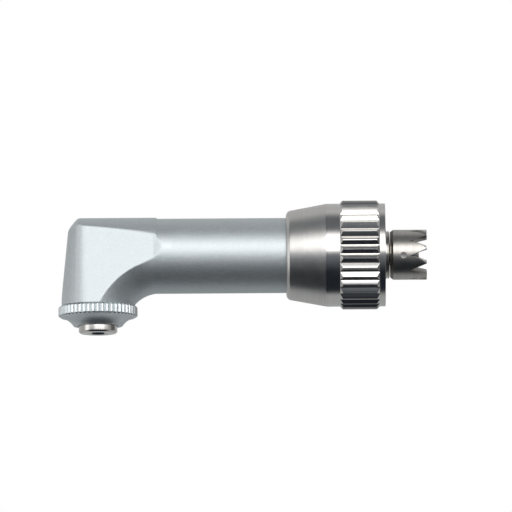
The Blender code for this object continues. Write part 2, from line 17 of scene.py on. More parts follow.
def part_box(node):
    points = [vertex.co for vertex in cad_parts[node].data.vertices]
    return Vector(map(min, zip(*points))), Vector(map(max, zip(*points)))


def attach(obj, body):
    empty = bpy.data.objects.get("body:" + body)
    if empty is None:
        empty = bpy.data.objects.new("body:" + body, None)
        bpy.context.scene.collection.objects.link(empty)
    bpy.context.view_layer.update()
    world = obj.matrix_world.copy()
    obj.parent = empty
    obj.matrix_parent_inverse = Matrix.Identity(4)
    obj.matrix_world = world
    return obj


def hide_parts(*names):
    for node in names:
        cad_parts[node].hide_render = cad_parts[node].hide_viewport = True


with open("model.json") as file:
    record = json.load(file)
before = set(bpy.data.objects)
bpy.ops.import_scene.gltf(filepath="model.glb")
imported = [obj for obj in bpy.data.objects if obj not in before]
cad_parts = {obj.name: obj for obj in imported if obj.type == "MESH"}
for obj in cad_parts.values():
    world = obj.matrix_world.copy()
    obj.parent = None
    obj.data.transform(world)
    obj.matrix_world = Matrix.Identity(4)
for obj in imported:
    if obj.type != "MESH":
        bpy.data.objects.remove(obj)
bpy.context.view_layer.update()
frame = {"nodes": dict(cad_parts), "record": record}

MM = 0.001
SPINDLE_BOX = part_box("spindle")
CROSSING = Vector(((SPINDLE_BOX[0].x + SPINDLE_BOX[1].x) / 2, 0.0, 0.0))

# Head casting and neck
NECK_RADIUS = 3.755
NECK_END = 24.6
COLLAR_FRONT = 23.4
COLLAR_SEAT_RADIUS = 3.45
NECK_STEP = 5.92
NECK_JOIN = 7.4
CROWN_RADIUS = 3.86
HEAD_BOTTOM = -5.05
TIP_BALL = (1.557, 5.2)
FRONT_CONE = (0.6, 3.82, 0.102)
FRONT_CONE_SPREAD = 0.39
BEND_CENTRE = (6.22, -7.03)
BEND_CENTRE_LINE = 7.055
ELBOW_HALF_WIDTH = 3.95
ELBOW_ROUNDNESS = 1.6
ELBOW_JOIN_LENGTH = 2.4
NECK_OVERLAP = 0.3
FLAT_DISTANCE = 3.12
FLAT_TAPER = 0.092
FLAT_DRAFT = math.tan(math.radians(7.5))
FLAT_END = 5.6
FLAT_RUN_OUT = 0.108
SHAFT_BORE = 2.51
REAR_BORE = 3.02
REAR_BORE_FRONT = 20.9
HEAD_PITCH = 0.06

# Head cap
CAP_CREST_RADIUS = 3.96
CAP_RIB_DEPTH = 0.17
CAP_RIBS = 50
CAP_RIM_TOP = -5.08
CAP_RIM_BOTTOM = -6.14
CAP_RIM_EDGE = 3.58
CAP_TOP_CHAMFER_RADIUS = 3.84
CAP_BOTTOM_CHAMFER_RADIUS = 3.74
CAP_BOTTOM_CHAMFER_SLOPE = 1.6
CAP_NOSE_RADIUS = 2.45
CAP_BOTTOM = -7.0
CAVETTO_RADIUS = 2.16
CAP_THREAD_RADIUS = 3.08

# Spindle
SPINDLE_NOSE_RADIUS = 1.93
SPINDLE_END = -7.74
TAPPED_RADIUS = 0.8

# Coupling nut
NUT_FRONT = 18.83
NUT_REAR = 28.75
NUT_BORE = 3.84
NUT_SHOULDER = 23.15
NUT_THREAD_RADIUS = 4.25
NUT_BODY_RADIUS = 5.15
NUT_CREST_RADIUS = 5.45
NUT_RIDGES = 36
RIDGE_PHASE = math.radians(1.0)
CONE_END = 22.9
RIDGE_FRONT = 24.2
RIDGE_REAR = 28.17

# Crown gear and the parts at the rear
CROWN_TEETH = 10
CROWN_OUTER_RADIUS = 2.5
CROWN_INNER_RADIUS = 1.88
CROWN_FRONT = 29.22
CROWN_ROOT = 31.1
CROWN_TIP = 32.9
CROWN_PHASE = math.radians(-7.5)
PIN_POSITION = 30.55
PIN_TURN = math.radians(8.5)
PIN_RADIUS = 0.25
SPIGOT_END = 29.16
CUP_FLOOR = 30.95


# Mesh helpers -------------------------------------------------------------------------------------

def around(axis, radius, angles, position):
    """Points at a radius from the drive axis or the spindle axis, one row for each angle."""
    across = radius * np.cos(angles)
    along = radius * np.sin(angles)
    level = np.broadcast_to(position, angles.shape)
    if axis == "X":
        return np.stack([level, across, along], axis=1)
    return np.stack([across, along, level], axis=1)


def rounded(outline, steps=4):
    """Turn each (radius, position, fillet) corner into an arc of (radius, position, wear) points."""
    points = []
    for index, corner in enumerate(outline):
        here = np.array(corner[:2], float)
        fillet = corner[2] if len(corner) > 2 else 0.0
        if not fillet:
            points.append((here[0], here[1], 0.0))
            continue
        before = np.array(outline[index - 1][:2]) - here
        after = np.array(outline[(index + 1) % len(outline)][:2]) - here
        before /= np.linalg.norm(before)
        after /= np.linalg.norm(after)
        half = math.acos(np.clip(before @ after, -1.0, 1.0)) / 2
        middle = (before + after) / np.linalg.norm(before + after)
        centre = here + middle * fillet / math.sin(half)
        start = here + before * fillet / math.tan(half) - centre
        end = here + after * fillet / math.tan(half) - centre
        sweep = math.pi - 2 * half
        for step in range(steps + 1):
            share = step / steps
            swung = start * math.sin((1 - share) * sweep) + end * math.sin(share * sweep)
            point = centre + swung / math.sin(sweep)
            points.append((point[0], point[1], math.sin(math.pi * share)))
    return points


def sampled(first, last, spacing):
    """Points along a straight stretch of an outline, both ends included."""
    count = max(1, round(math.dist(first, last) / spacing))
    shares = np.linspace(0.0, 1.0, count + 1)
    return [(first[0] + (last[0] - first[0]) * s, first[1] + (last[1] - first[1]) * s) for s in shares]


def arc(centre, radius, start, end, steps):
    """Outline points along a circular arc, from one angle to another in degrees."""
    angles = np.radians(np.linspace(start, end, steps + 1))
    return [(centre[0] + radius * math.cos(a), centre[1] + radius * math.sin(a)) for a in angles]


def ring_faces(first, second, segments):
    """Faces between two neighbouring rings; a ring of one vertex is a point on the axis."""
    here = np.arange(segments)
    after = (here + 1) % segments
    if len(first) == 1:
        return np.stack([np.full(segments, first[0]), second[after], second[here]], axis=1).tolist()
    if len(second) == 1:
        return np.stack([first[here], first[after], np.full(segments, second[0])], axis=1).tolist()
    return np.stack([first[here], first[after], second[after], second[here]], axis=1).tolist()


def spun(outline, segments, axis="X", closed=True, relief=None):
    """Revolve an outline into vertices, faces and wear.

    relief(radius, position, angles) may change a ring: it gives its radii, positions and wear.
    """
    angles = np.arange(segments) * 2 * math.pi / segments
    vertices, wear, rings, faces = [], [], [], []
    count = 0
    for corner in outline:
        radius, position = corner[:2]
        ring_wear = np.full(segments, corner[2] if len(corner) > 2 else 0.0)
        if radius < 1e-6:
            points = around(axis, 0.0, angles[:1], position)
            ring_wear = ring_wear[:1]
        else:
            radii, levels = np.full(segments, radius), np.full(segments, position)
            if relief:
                radii, levels, extra = relief(radii, levels, angles)
                ring_wear = np.clip(ring_wear + extra, 0.0, 1.0)
            points = around(axis, radii, angles, levels)
        vertices.append(points)
        wear.append(ring_wear)
        rings.append(count + np.arange(len(points)))
        count += len(points)
    pairs = list(zip(rings, rings[1:]))
    if closed:
        pairs.append((rings[-1], rings[0]))
    for first, second in pairs:
        faces += ring_faces(first, second, segments)
    return np.concatenate(vertices), faces, np.concatenate(wear)


def piece(name, shape, body, slot, nodes, sharp_angle=35.0):
    """Make a closed mesh from (vertices, faces, wear), standing for CAD nodes and riding on a body."""
    vertices, faces, wear = shape
    mesh = bpy.data.meshes.new(name)
    mesh.from_pydata((np.asarray(vertices) * MM).tolist(), [], faces)
    mesh.attributes.new("wear", "FLOAT", "POINT").data.foreach_set("value", np.asarray(wear, np.float32))
    face_outwards(mesh)
    mesh.shade_smooth()
    mesh.set_sharp_from_angle(angle=math.radians(sharp_angle))
    obj = bpy.data.objects.new(name, mesh)
    obj.location = CROSSING
    bpy.context.scene.collection.objects.link(obj)
    mesh.materials.append(MATERIALS[slot])
    normals = obj.modifiers.new("even_normals", "WEIGHTED_NORMAL")
    normals.keep_sharp = True
    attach(obj, body)
    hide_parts(*nodes)
    return obj


def face_outwards(mesh):
    """Turn every face of a closed mesh outwards."""
    bm = bmesh.new()
    bm.from_mesh(mesh)
    bmesh.ops.recalc_face_normals(bm, faces=bm.faces)
    bm.to_mesh(mesh)
    bm.free()


def smooth_step(value, start, end):
    """0 before start, 1 after end and an even S between them."""
    share = np.clip((value - start) / (end - start), 0.0, 1.0)
    return share * share * (3 - 2 * share)


def helix(levels, angles, pitch):
    """Triangle wave of a screw thread: 0 at the root and 1 at the crest."""
    turn = (levels / pitch - angles / (2 * math.pi)) % 1.0
    return 1.0 - np.abs(2 * turn - 1.0)


# Node helpers -------------------------------------------------------------------------------------

def node(tree, kind, sockets=None, **settings):
    """Add a node, apply its settings, and fill or connect its inputs."""
    made = tree.nodes.new(kind)
    for key, value in settings.items():
        setattr(made, key, value)
    for socket, value in (sockets or {}).items():
        if isinstance(value, bpy.types.NodeSocket):
            tree.links.new(value, made.inputs[socket])
        else:
            made.inputs[socket].default_value = value
    return made


def maths(tree, operation, first, second=0.0):
    """The result of one Math node."""
    return node(tree, "ShaderNodeMath", {0: first, 1: second}, operation=operation).outputs[0]


def scaled_range(tree, value, low, high, new_low, new_high, kind="LINEAR"):
    """The result of one Map Range node."""
    sockets = {"Value": value, "From Min": low, "From Max": high, "To Min": new_low, "To Max": new_high}
    return node(tree, "ShaderNodeMapRange", sockets, interpolation_type=kind).outputs["Result"]


def noise(tree, vector, scale, detail=3.0, roughness=0.55):
    """The value of one Noise Texture; its scale is in features for each millimetre."""
    sockets = {"Vector": vector, "Scale": scale / MM, "Detail": detail, "Roughness": roughness}
    return node(tree, "ShaderNodeTexNoise", sockets).outputs["Fac"]


def blended(tree, share, first, second):
    """The result of mixing two colours."""
    mixer = node(tree, "ShaderNodeMix", {0: share}, data_type="RGBA")
    for index, value in ((6, first), (7, second)):
        if isinstance(value, bpy.types.NodeSocket):
            tree.links.new(value, mixer.inputs[index])
        else:
            mixer.inputs[index].default_value = (*value, 1.0)
    return mixer.outputs[2]


def bumped(tree, height, depth, normal=None):
    """The normal of one Bump node; depth is in millimetres."""
    sockets = {"Height": height, "Distance": depth * MM, "Strength": 1.0}
    if normal:
        sockets["Normal"] = normal
    return node(tree, "ShaderNodeBump", sockets).outputs["Normal"]


def new_material(name):
    """An empty material with its tree, its shader and the object's own coordinates."""
    material = bpy.data.materials.new(name)
    material.use_nodes = True
    tree = material.node_tree
    shader = tree.nodes["Principled BSDF"]
    place = node(tree, "ShaderNodeTexCoord").outputs["Object"]
    return material, tree, shader, place


def worn(tree):
    """How worn the surface is, from the mesh: 0 on open faces, up to 1 along edges."""
    return node(tree, "ShaderNodeAttribute", attribute_name="wear").outputs["Fac"]


def lathe_place(tree, place, axis):
    """Coordinates that run along and across a turning axis, so that noise on them makes rings."""
    split = node(tree, "ShaderNodeSeparateXYZ", {0: place})
    along, first, second = ("X", "Y", "Z") if axis == "X" else ("Z", "X", "Y")
    squares = maths(tree, "ADD", maths(tree, "MULTIPLY", split.outputs[first], split.outputs[first]),
                    maths(tree, "MULTIPLY", split.outputs[second], split.outputs[second]))
    radius = maths(tree, "SQRT", squares)
    return node(tree, "ShaderNodeCombineXYZ", {"X": split.outputs[along], "Y": radius}).outputs[0]


# Materials ----------------------------------------------------------------------------------------

def blasted_alloy(name, colour, bright, roughness, grain_depth, edge_polish):
    """Bead-blasted alloy: an even satin with fine grain, faint clouding and polished edges."""
    material, tree, shader, place = new_material(name)
    grain = noise(tree, place, 4.5, 5.0, 0.7)
    cloud = noise(tree, place, 1.1, 2.0)
    polish = maths(tree, "MULTIPLY", worn(tree), edge_polish)
    tone = blended(tree, scaled_range(tree, cloud, 0.3, 0.7, 0.0, 1.0), colour, bright)
    fleck = scaled_range(tree, grain, 0.3, 0.7, 0.91, 1.07)
    tone = node(tree, "ShaderNodeVectorMath", {0: blended(tree, polish, tone, bright), "Scale": fleck},
                operation="SCALE").outputs[0]
    tree.links.new(tone, shader.inputs["Base Color"])
    even = scaled_range(tree, grain, 0.25, 0.75, roughness - 0.04, roughness + 0.05)
    rough = maths(tree, "SUBTRACT", even, maths(tree, "MULTIPLY", polish, 0.10))
    tree.links.new(rough, shader.inputs["Roughness"])
    tree.links.new(bumped(tree, grain, grain_depth), shader.inputs["Normal"])
    shader.inputs["Metallic"].default_value = 1.0
    return material


def turned_metal(name, axis, colour, dark, roughness, mark_depth, mark_scale=5.0, smooth_from=None):
    """Turned metal: rings of fine tool marks in its tone, gloss and surface.

    Behind smooth_from, a position in millimetres along the axis, the marks are polished away.
    """
    material, tree, shader, place = new_material(name)
    rings = lathe_place(tree, place, axis)
    marks = noise(tree, rings, mark_scale, 5.0, 0.7)
    smear = noise(tree, place, 0.9, 3.0)
    polish = worn(tree)
    tone = blended(tree, scaled_range(tree, marks, 0.3, 0.7, 0.0, 1.0), dark, colour)
    tree.links.new(tone, shader.inputs["Base Color"])
    gloss = scaled_range(tree, marks, 0.25, 0.75, roughness + 0.05, roughness - 0.04)
    gloss = maths(tree, "ADD", gloss, scaled_range(tree, smear, 0.3, 0.7, -0.02, 0.03))
    gloss = maths(tree, "SUBTRACT", gloss, maths(tree, "MULTIPLY", polish, 0.05))
    if smooth_from:
        along = node(tree, "ShaderNodeSeparateXYZ", {0: rings}).outputs["X"]
        left = scaled_range(tree, along, (smooth_from - 0.2) * MM, smooth_from * MM, 1.0, 0.0)
        gloss = maths(tree, "ADD", gloss, maths(tree, "MULTIPLY", left, 0.13))
        marks = maths(tree, "MULTIPLY", marks, maths(tree, "ADD", maths(tree, "MULTIPLY", left, 0.85), 0.15))
    tree.links.new(gloss, shader.inputs["Roughness"])
    tree.links.new(bumped(tree, marks, mark_depth), shader.inputs["Normal"])
    shader.inputs["Metallic"].default_value = 1.0
    return material


def matt_plastic(name, light, dark):
    """Cloth-filled phenolic plastic: warm, matt, with a fine fleck."""
    material, tree, shader, place = new_material(name)
    fleck = noise(tree, place, 9.0, 3.0)
    tree.links.new(blended(tree, fleck, dark, light), shader.inputs["Base Color"])
    tree.links.new(scaled_range(tree, fleck, 0.3, 0.7, 0.5, 0.65), shader.inputs["Roughness"])
    tree.links.new(bumped(tree, fleck, 0.003), shader.inputs["Normal"])
    return material


def black_rubber(name):
    """Seal rubber: black, dull, faintly dusty."""
    material, tree, shader, place = new_material(name)
    dust = noise(tree, place, 4.0, 4.0)
    dustiness = scaled_range(tree, dust, 0.4, 0.8, 0.0, 1.0)
    tone = blended(tree, dustiness, (0.012, 0.012, 0.012), (0.05, 0.05, 0.05))
    tree.links.new(tone, shader.inputs["Base Color"])
    tree.links.new(scaled_range(tree, dust, 0.3, 0.7, 0.55, 0.75), shader.inputs["Roughness"])
    tree.links.new(bumped(tree, dust, 0.002), shader.inputs["Normal"])
    return material


MATERIALS = {
    "satin_head_alloy": blasted_alloy("satin_head_alloy", (0.65, 0.695, 0.705),
                                      (0.675, 0.715, 0.725), 0.54, 0.006, 0.3),
    "satin_cap_alloy": blasted_alloy("satin_cap_alloy", (0.62, 0.66, 0.68),
                                     (0.74, 0.78, 0.79), 0.44, 0.004, 1.0),
    "nickel_plated_nut": turned_metal("nickel_plated_nut", "X", (0.68, 0.665, 0.64), (0.60, 0.585, 0.56),
                                      0.19, 0.016, 9.0, CONE_END),
    "polished_spindle": turned_metal("polished_spindle", "Z", (0.72, 0.70, 0.67), (0.62, 0.60, 0.57),
                                     0.14, 0.0008),
    "gear_steel": turned_metal("gear_steel", "X", (0.50, 0.48, 0.45), (0.40, 0.38, 0.35), 0.33, 0.004),
    "ground_steel": turned_metal("ground_steel", "X", (0.60, 0.575, 0.54), (0.50, 0.475, 0.44), 0.22, 0.001),
    "bearing_steel": turned_metal("bearing_steel", "X", (0.72, 0.72, 0.72), (0.64, 0.64, 0.65), 0.12, 0.0004),
    "cage_plastic": matt_plastic("cage_plastic", (0.45, 0.30, 0.17), (0.30, 0.18, 0.09)),
    "black_seal_rubber": black_rubber("black_seal_rubber"),
}


# Head casting -------------------------------------------------------------------------------------

def soft_max(first, second, reach):
    """The larger of two fields, with the corner where they meet rounded over a reach."""
    near = np.maximum(reach - np.abs(first - second), 0.0) / reach
    return np.maximum(first, second) + near * near * reach / 4


def head_field(x, y, z):
    """Signed distance to the head casting's surface, roughly: negative inside the metal."""
    across = np.abs(y)
    over = np.where(z > 0, np.hypot(y, z), across)
    crown = over - CROWN_RADIUS
    ball_x, ball_radius = TIP_BALL
    tip = np.hypot(np.minimum(x - ball_x, 0.0), over) - ball_radius
    cone_x, cone_radius, cone_taper = FRONT_CONE
    sides = across - FRONT_CONE_SPREAD * (x - cone_x)
    reach = np.where(x < cone_x, np.hypot(x - cone_x, across), sides)
    cone = (reach - cone_radius + cone_taper * z) / math.hypot(1.0, cone_taper)
    bend_x, bend_z = BEND_CENTRE
    swing = np.hypot(np.minimum(x - bend_x, 0.0), z - bend_z)
    depth = np.maximum(BEND_CENTRE_LINE - swing, 0.0) / NECK_RADIUS
    join = smooth_step(x, NECK_STEP - ELBOW_JOIN_LENGTH, NECK_STEP - NECK_OVERLAP)
    roundness = ELBOW_ROUNDNESS + (2.0 - ELBOW_ROUNDNESS) * join
    half_width = ELBOW_HALF_WIDTH + (NECK_RADIUS - ELBOW_HALF_WIDTH) * join
    section = (across / half_width) ** roundness + depth ** roundness
    canal = (section ** (1 / roundness) - 1.0) * NECK_RADIUS
    milled = FLAT_DISTANCE + FLAT_TAPER * x + FLAT_RUN_OUT * np.maximum(x - FLAT_END, 0.0)
    flat = (across - milled + z * FLAT_DRAFT) / math.hypot(1.0, FLAT_DRAFT, FLAT_TAPER)
    front = soft_max(cone, flat, 0.34)
    head = soft_max(crown, tip, 0.14)
    head = soft_max(head, front, 0.08)
    head = soft_max(head, canal, 0.05)
    head = soft_max(head, HEAD_BOTTOM - z, 0.07)
    head = soft_max(head, x - NECK_STEP, 0.10)
    neck = soft_max(np.hypot(y, z) - NECK_RADIUS, flat, 0.04)
    neck = np.where(x > NECK_STEP - NECK_OVERLAP, neck, 1.0)
    outer = np.minimum(head, neck)
    sharp = np.minimum(np.maximum.reduce([crown, tip, cone, flat, canal]), neck)
    wear = np.clip((outer - sharp) / 0.03, 0.0, 1.0) * (front < np.maximum(cone, flat) + 0.02)
    return np.maximum(outer, -head_bores(x, y, z)), wear


def head_bores(x, y, z):
    """The hollow for the bearings, gears, shaft, spindle and cap, as one field: negative inside it."""
    along_drive = np.hypot(y, z)
    along_spindle = np.hypot(x, y)
    shaft = np.maximum(along_drive - SHAFT_BORE, 3.2 - x)
    shoulder = np.maximum(along_drive - 2.2, -x)
    chamber = np.maximum(along_spindle - 2.3, z - 2.02)
    pocket = np.maximum(along_spindle - 1.51, z - 3.16)
    pocket = np.maximum(pocket, -z)
    cap_bore = np.maximum(along_spindle - 3.1, z + 3.12)
    return np.minimum.reduce([shaft, shoulder, chamber, pocket, cap_bore])


def surface_net(field, low, high, pitch):
    """Mesh the zero surface of a field: a vertex in each cell that it crosses, a face across each edge."""
    axes = [np.arange(a, b + pitch, pitch) for a, b in zip(low, high)]
    x, y, z = np.meshgrid(*axes, indexing="ij")
    values = field(x, y, z)[0].astype(np.float32)
    inside = values < 0
    corner_slices = [tuple(slice(1, None) if bit else slice(None, -1) for bit in (i, j, k))
                     for i in (0, 1) for j in (0, 1) for k in (0, 1)]
    filled = sum(inside[s].astype(np.int8) for s in corner_slices)
    crossed = (filled > 0) & (filled < 8)
    index = np.full(crossed.shape, -1, np.int64)
    index[crossed] = np.arange(crossed.sum())
    cells = np.argwhere(crossed)
    start = np.array([a[0] for a in axes])
    points = start + (cells + 0.5) * pitch
    points = settle(field, points, pitch)
    faces = []
    for axis in range(3):
        faces.append(edge_faces(inside, index, axis))
    return points, np.concatenate(faces)


def settle(field, points, pitch):
    """Move cell centres onto the surface along the field's slope, staying within about a cell."""
    moved = points.copy()
    step = pitch * 0.1
    for _ in range(6):
        here = field(*moved.T)[0]
        slope = np.stack([(field(*(moved + offset).T)[0] - field(*(moved - offset).T)[0]) / (2 * step)
                          for offset in np.eye(3) * step], axis=1)
        steep = np.maximum((slope ** 2).sum(axis=1), 0.1)
        moved -= slope * (here / steep)[:, None] * 0.9
        moved = np.clip(moved, points - 0.62 * pitch, points + 0.62 * pitch)
    return moved


def edge_faces(inside, index, axis):
    """A quad round each grid edge along one axis whose ends lie on different sides of the surface."""
    first = np.moveaxis(inside, axis, 0)
    cells = np.moveaxis(index, axis, 0)
    changes = first[:-1, 1:-1, 1:-1] != first[1:, 1:-1, 1:-1]
    i, j, k = np.nonzero(changes)
    quads = np.stack([cells[i, j, k], cells[i, j + 1, k], cells[i, j + 1, k + 1], cells[i, j, k + 1]], axis=1)
    outward = first[:-1, 1:-1, 1:-1][i, j, k]
    quads[~outward] = quads[~outward][:, ::-1]
    return quads


def head_mesh():
    """The head as a bmesh, cut open where the plain neck takes over."""
    low = (-4.1, -4.2, -5.35)
    high = (NECK_JOIN + 2 * HEAD_PITCH, 4.2, 4.2)
    points, faces = surface_net(head_field, low, high, HEAD_PITCH)
    bm = bmesh.new()
    made = [bm.verts.new(point) for point in points]
    for quad in faces:
        bm.faces.new([made[corner] for corner in quad])
    everything = list(bm.verts) + list(bm.edges) + list(bm.faces)
    bmesh.ops.bisect_plane(bm, geom=everything, plane_co=(NECK_JOIN, 0, 0), plane_no=(1, 0, 0),
                           clear_outer=True)
    return bm


def neck_rings(bm, segments):
    """The plain neck behind the head: its outside, collar seat, end face and bearing bore."""
    outline = [(NECK_RADIUS, NECK_JOIN + 0.1), (NECK_RADIUS, COLLAR_FRONT - 0.08),
               (NECK_RADIUS - 0.05, COLLAR_FRONT - 0.02), (COLLAR_SEAT_RADIUS, COLLAR_FRONT - 0.02),
               (COLLAR_SEAT_RADIUS, NECK_END - 0.04), (COLLAR_SEAT_RADIUS - 0.04, NECK_END),
               (REAR_BORE + 0.04, NECK_END), (REAR_BORE, NECK_END - 0.04), (REAR_BORE, REAR_BORE_FRONT),
               (SHAFT_BORE, REAR_BORE_FRONT), (SHAFT_BORE, NECK_JOIN + 0.1)]
    points, faces, _ = spun(outline, segments, closed=False)
    made = [bm.verts.new(point) for point in points]
    for quad in faces:
        bm.faces.new([made[corner] for corner in quad])
    return made[:segments], made[-segments:]


def make_head_shell():
    """Head and neck as one casting."""
    bm = head_mesh()
    open_edges = [e for e in bm.edges if e.is_boundary]
    split = (NECK_RADIUS + SHAFT_BORE) / 2
    outer_ring, bore_ring = neck_rings(bm, 192)
    for ring, radius, outside in ((outer_ring, NECK_RADIUS, True), (bore_ring, SHAFT_BORE, False)):
        loop = [e for e in open_edges if (math.hypot(*e.verts[0].co.yz) > split) == outside]
        for vertex in {v for e in loop for v in e.verts}:
            reach = math.hypot(*vertex.co.yz)
            vertex.co = (NECK_JOIN, vertex.co.y * radius / reach, vertex.co.z * radius / reach)
        ring_edges = [bm.edges.get((ring[i - 1], ring[i])) for i in range(len(ring))]
        bmesh.ops.bridge_loops(bm, edges=loop + ring_edges)
    bm.verts.index_update()
    points = np.array([v.co for v in bm.verts])
    faces = [[v.index for v in f.verts] for f in bm.faces]
    bm.free()
    wear = np.where(points[:, 0] < NECK_JOIN, head_field(*points.T)[1], 0.0)
    piece("head_shell", (points, faces, wear), "head_and_neck", "satin_head_alloy", ["head_housing"])


# Cap, seals and spindle ---------------------------------------------------------------------------

def cap_relief(radii, levels, angles):
    """Rounded ribs that die out in the rim's two chamfers, and the screw thread on the cap's tube."""
    ribbed = (radii > CAP_RIM_EDGE - 0.01) & (levels < CAP_RIM_TOP + 0.01) & (levels > CAP_RIM_BOTTOM - 0.01)
    turn = (angles * CAP_RIBS / (2 * math.pi)) % 1.0
    wave = 1.0 - np.abs(2 * turn - 1.0) ** 2.0
    below = np.maximum(CAP_RIM_TOP - levels, 0.0)
    above = np.maximum(levels - CAP_RIM_BOTTOM, 0.0)
    top_chamfer = CAP_TOP_CHAMFER_RADIUS + below
    bottom_chamfer = CAP_BOTTOM_CHAMFER_RADIUS + CAP_BOTTOM_CHAMFER_SLOPE * above
    chamfers = -soft_max(-top_chamfer, -bottom_chamfer, 0.05)
    profile = -soft_max(-chamfers, np.full_like(levels, -CAP_CREST_RADIUS), 0.06)
    depth = CAP_RIB_DEPTH * smooth_step(below, 0.0, 0.05) * smooth_step(above, 0.0, 0.12)
    shaped = profile - depth * (1.0 - wave)
    threaded = np.isclose(radii, CAP_THREAD_RADIUS - 0.005)
    cut = np.where(threaded, 0.10 * (1.0 - helix(levels, angles, 0.35)), 0.0)
    return np.where(ribbed, shaped, radii - cut), levels, np.where(ribbed, wave * wave, 0.0)


def cap_cavetto(steps):
    """The hollow curve between the cap's rim and its nose ring, an arc bulging into the cap."""
    top = Vector((CAP_RIM_EDGE, CAP_RIM_BOTTOM))
    nose = Vector((CAP_NOSE_RADIUS, CAP_BOTTOM))
    half_chord = (nose - top).length / 2
    outward = Vector((top.y - nose.y, nose.x - top.x)).normalized()
    centre = (top + nose) / 2 + outward * math.sqrt(CAVETTO_RADIUS ** 2 - half_chord ** 2)
    start = math.degrees(math.atan2(*reversed(top - centre)))
    end = math.degrees(math.atan2(*reversed(nose - centre)))
    return arc(centre, CAVETTO_RADIUS, start, end, steps)


def make_cap_shell():
    """The head cap with its ribbed rim."""
    rim = sampled((CAP_RIM_EDGE, CAP_RIM_TOP), (CAP_RIM_EDGE, CAP_RIM_BOTTOM), 0.03)
    thread = sampled((CAP_THREAD_RADIUS - 0.005, -3.3), (CAP_THREAD_RADIUS - 0.005, -4.75), 0.05)
    outline = [(2.61, -3.15), (2.95, -3.15), (3.03, -3.22)] + thread + [(2.95, -4.8), (2.78, -4.8)]
    outline += [(2.78, CAP_RIM_TOP), (3.5, CAP_RIM_TOP)] + rim + cap_cavetto(24)[1:]
    outline += [(2.42, CAP_BOTTOM - 0.012), (2.05, CAP_BOTTOM - 0.012), (2.01, CAP_BOTTOM),
                (2.0, CAP_BOTTOM + 0.04)]
    outline += [(2.0, -5.95), (2.3, -5.95), (2.3, -4.82), (2.61, -4.82)]
    shape = spun(outline, 10 * CAP_RIBS, axis="Z", relief=cap_relief)
    piece("cap_shell", shape, "head_and_neck", "satin_cap_alloy", ["head_cap"], sharp_angle=50.0)


def make_seals():
    """O-rings and lip seals."""
    middle = (20.2 + 20.75) / 2
    nut_ring = arc((3.985, middle), 0.21, 0, 345, 23)
    piece("nut_drag_ring", spun(nut_ring, 96), "nut_slider", "black_seal_rubber", ["nut_o_ring"])
    cap_ring = arc((2.93, -4.955), 0.135, 0, 345, 23)
    piece("cap_seal_ring", spun(cap_ring, 96, axis="Z"), "head_and_neck", "black_seal_rubber", ["cap_o_ring"])
    lip = [(1.55, -5.15, 0.03), (2.27, -5.15, 0.05), (2.27, -5.92, 0.05), (1.9, -5.92, 0.05),
           (1.7, -5.5, 0.05), (1.55, -5.4, 0.03)]
    piece("nose_lip_seal", spun(rounded(lip), 96, axis="Z"), "head_and_neck", "black_seal_rubber",
          ["spindle_seal"])
    rear = [(1.14, 28.35, 0.03), (1.93, 28.35, 0.05), (1.93, 29.1, 0.06), (1.45, 29.1, 0.06),
            (1.35, 28.7, 0.05), (1.14, 28.6, 0.03)]
    piece("rear_lip_seal", spun(rounded(rear), 96), "head_and_neck", "black_seal_rubber", ["rear_shaft_seal"])


def spindle_relief(radii, levels, angles):
    """The thread in the spindle's nose."""
    threaded = np.isclose(radii, TAPPED_RADIUS)
    cut = np.where(threaded, 0.19 * (1.0 - helix(levels, angles, 0.4)), 0.0)
    return radii + cut, levels, np.zeros_like(radii)


def make_spindle():
    """The spindle, with its tapped nose."""
    outside = [(0.45, 3.12), (0.5, 3.07), (0.5, 2.03), (0.85, 2.03), (0.85, -3.2), (1.4, -3.2), (1.4, -4.83),
               (1.62, -4.83), (1.62, -5.03), (1.5, -5.03), (1.5, -6.1), (SPINDLE_NOSE_RADIUS, -6.1)]
    nose = rounded([(SPINDLE_NOSE_RADIUS, -6.6), (SPINDLE_NOSE_RADIUS, -7.58, 0.06),
                    (1.76, SPINDLE_END, 0.03), (1.0, SPINDLE_END, 0.04), (TAPPED_RADIUS + 0.02, -7.46)])
    thread = sampled((TAPPED_RADIUS, -7.42), (TAPPED_RADIUS, -4.0), 0.05)
    outline = [(0.0, 3.12)] + outside + nose + thread + [(0.0, -3.55)]
    shape = spun(outline, 96, axis="Z", closed=False, relief=spindle_relief)
    piece("tapped_spindle", shape, "spindle_group", "polished_spindle", ["spindle"])


# Coupling nut -------------------------------------------------------------------------------------

def nut_relief(radii, levels, angles):
    """Straight ridges round the grip, cut off by a chamfer at both ends, and the internal thread."""
    grip = (radii > NUT_BODY_RADIUS - 0.01) & (levels > RIDGE_FRONT) & (levels < RIDGE_REAR)
    turn = ((angles - RIDGE_PHASE) * NUT_RIDGES / (2 * math.pi) + 0.5) % 1.0
    height = NUT_CREST_RADIUS - NUT_BODY_RADIUS
    ridge = np.clip((1.0 - np.abs(2 * turn - 1.0)) * 1.12 - 0.04, 0.0, 1.0) * height
    chamfer = np.minimum(levels - RIDGE_FRONT, RIDGE_REAR - levels) * height / 0.28
    rise = np.where(grip, np.minimum(ridge, chamfer), 0.0)
    threaded = np.isclose(radii, NUT_THREAD_RADIUS)
    cut = np.where(threaded, 0.22 * (1.0 - helix(levels, angles, 0.5)), 0.0)
    crest = smooth_step(rise, 0.8 * height, height)
    return radii + rise + cut, levels, np.where(grip, crest, 0.0)


